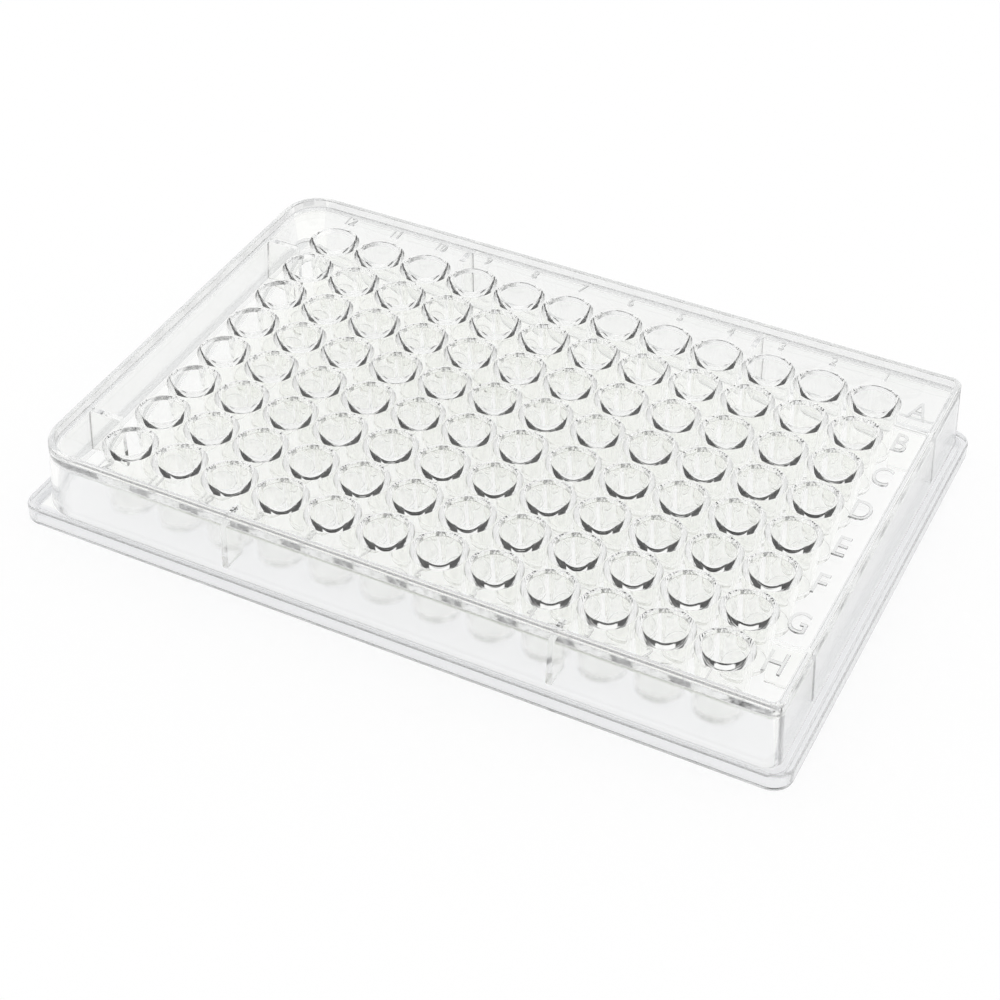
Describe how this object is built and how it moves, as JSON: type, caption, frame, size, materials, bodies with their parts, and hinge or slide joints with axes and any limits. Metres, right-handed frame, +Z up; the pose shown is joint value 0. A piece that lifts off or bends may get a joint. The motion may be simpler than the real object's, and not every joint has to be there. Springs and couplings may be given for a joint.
{
  "type": "well plate",
  "caption": "Clear plastic microplate: a shallow framed tray with a grid of round flat-bottomed wells for small liquid samples, on a stepped foot flange.",
  "frame": {"origin": "centre of the footprint, on the plane that the plate rests on", "axes": "+X along the length, towards the end with the tight frame corners; +Y along the width; +Z up, out of the wells"},
  "size_m": [0.1278, 0.0854, 0.0142],
  "materials": {
    "clear_polystyrene": "gloss"
  },
  "bodies": {
    "root": {"well_plate": "clear_polystyrene"}
  },
  "joints": []
}
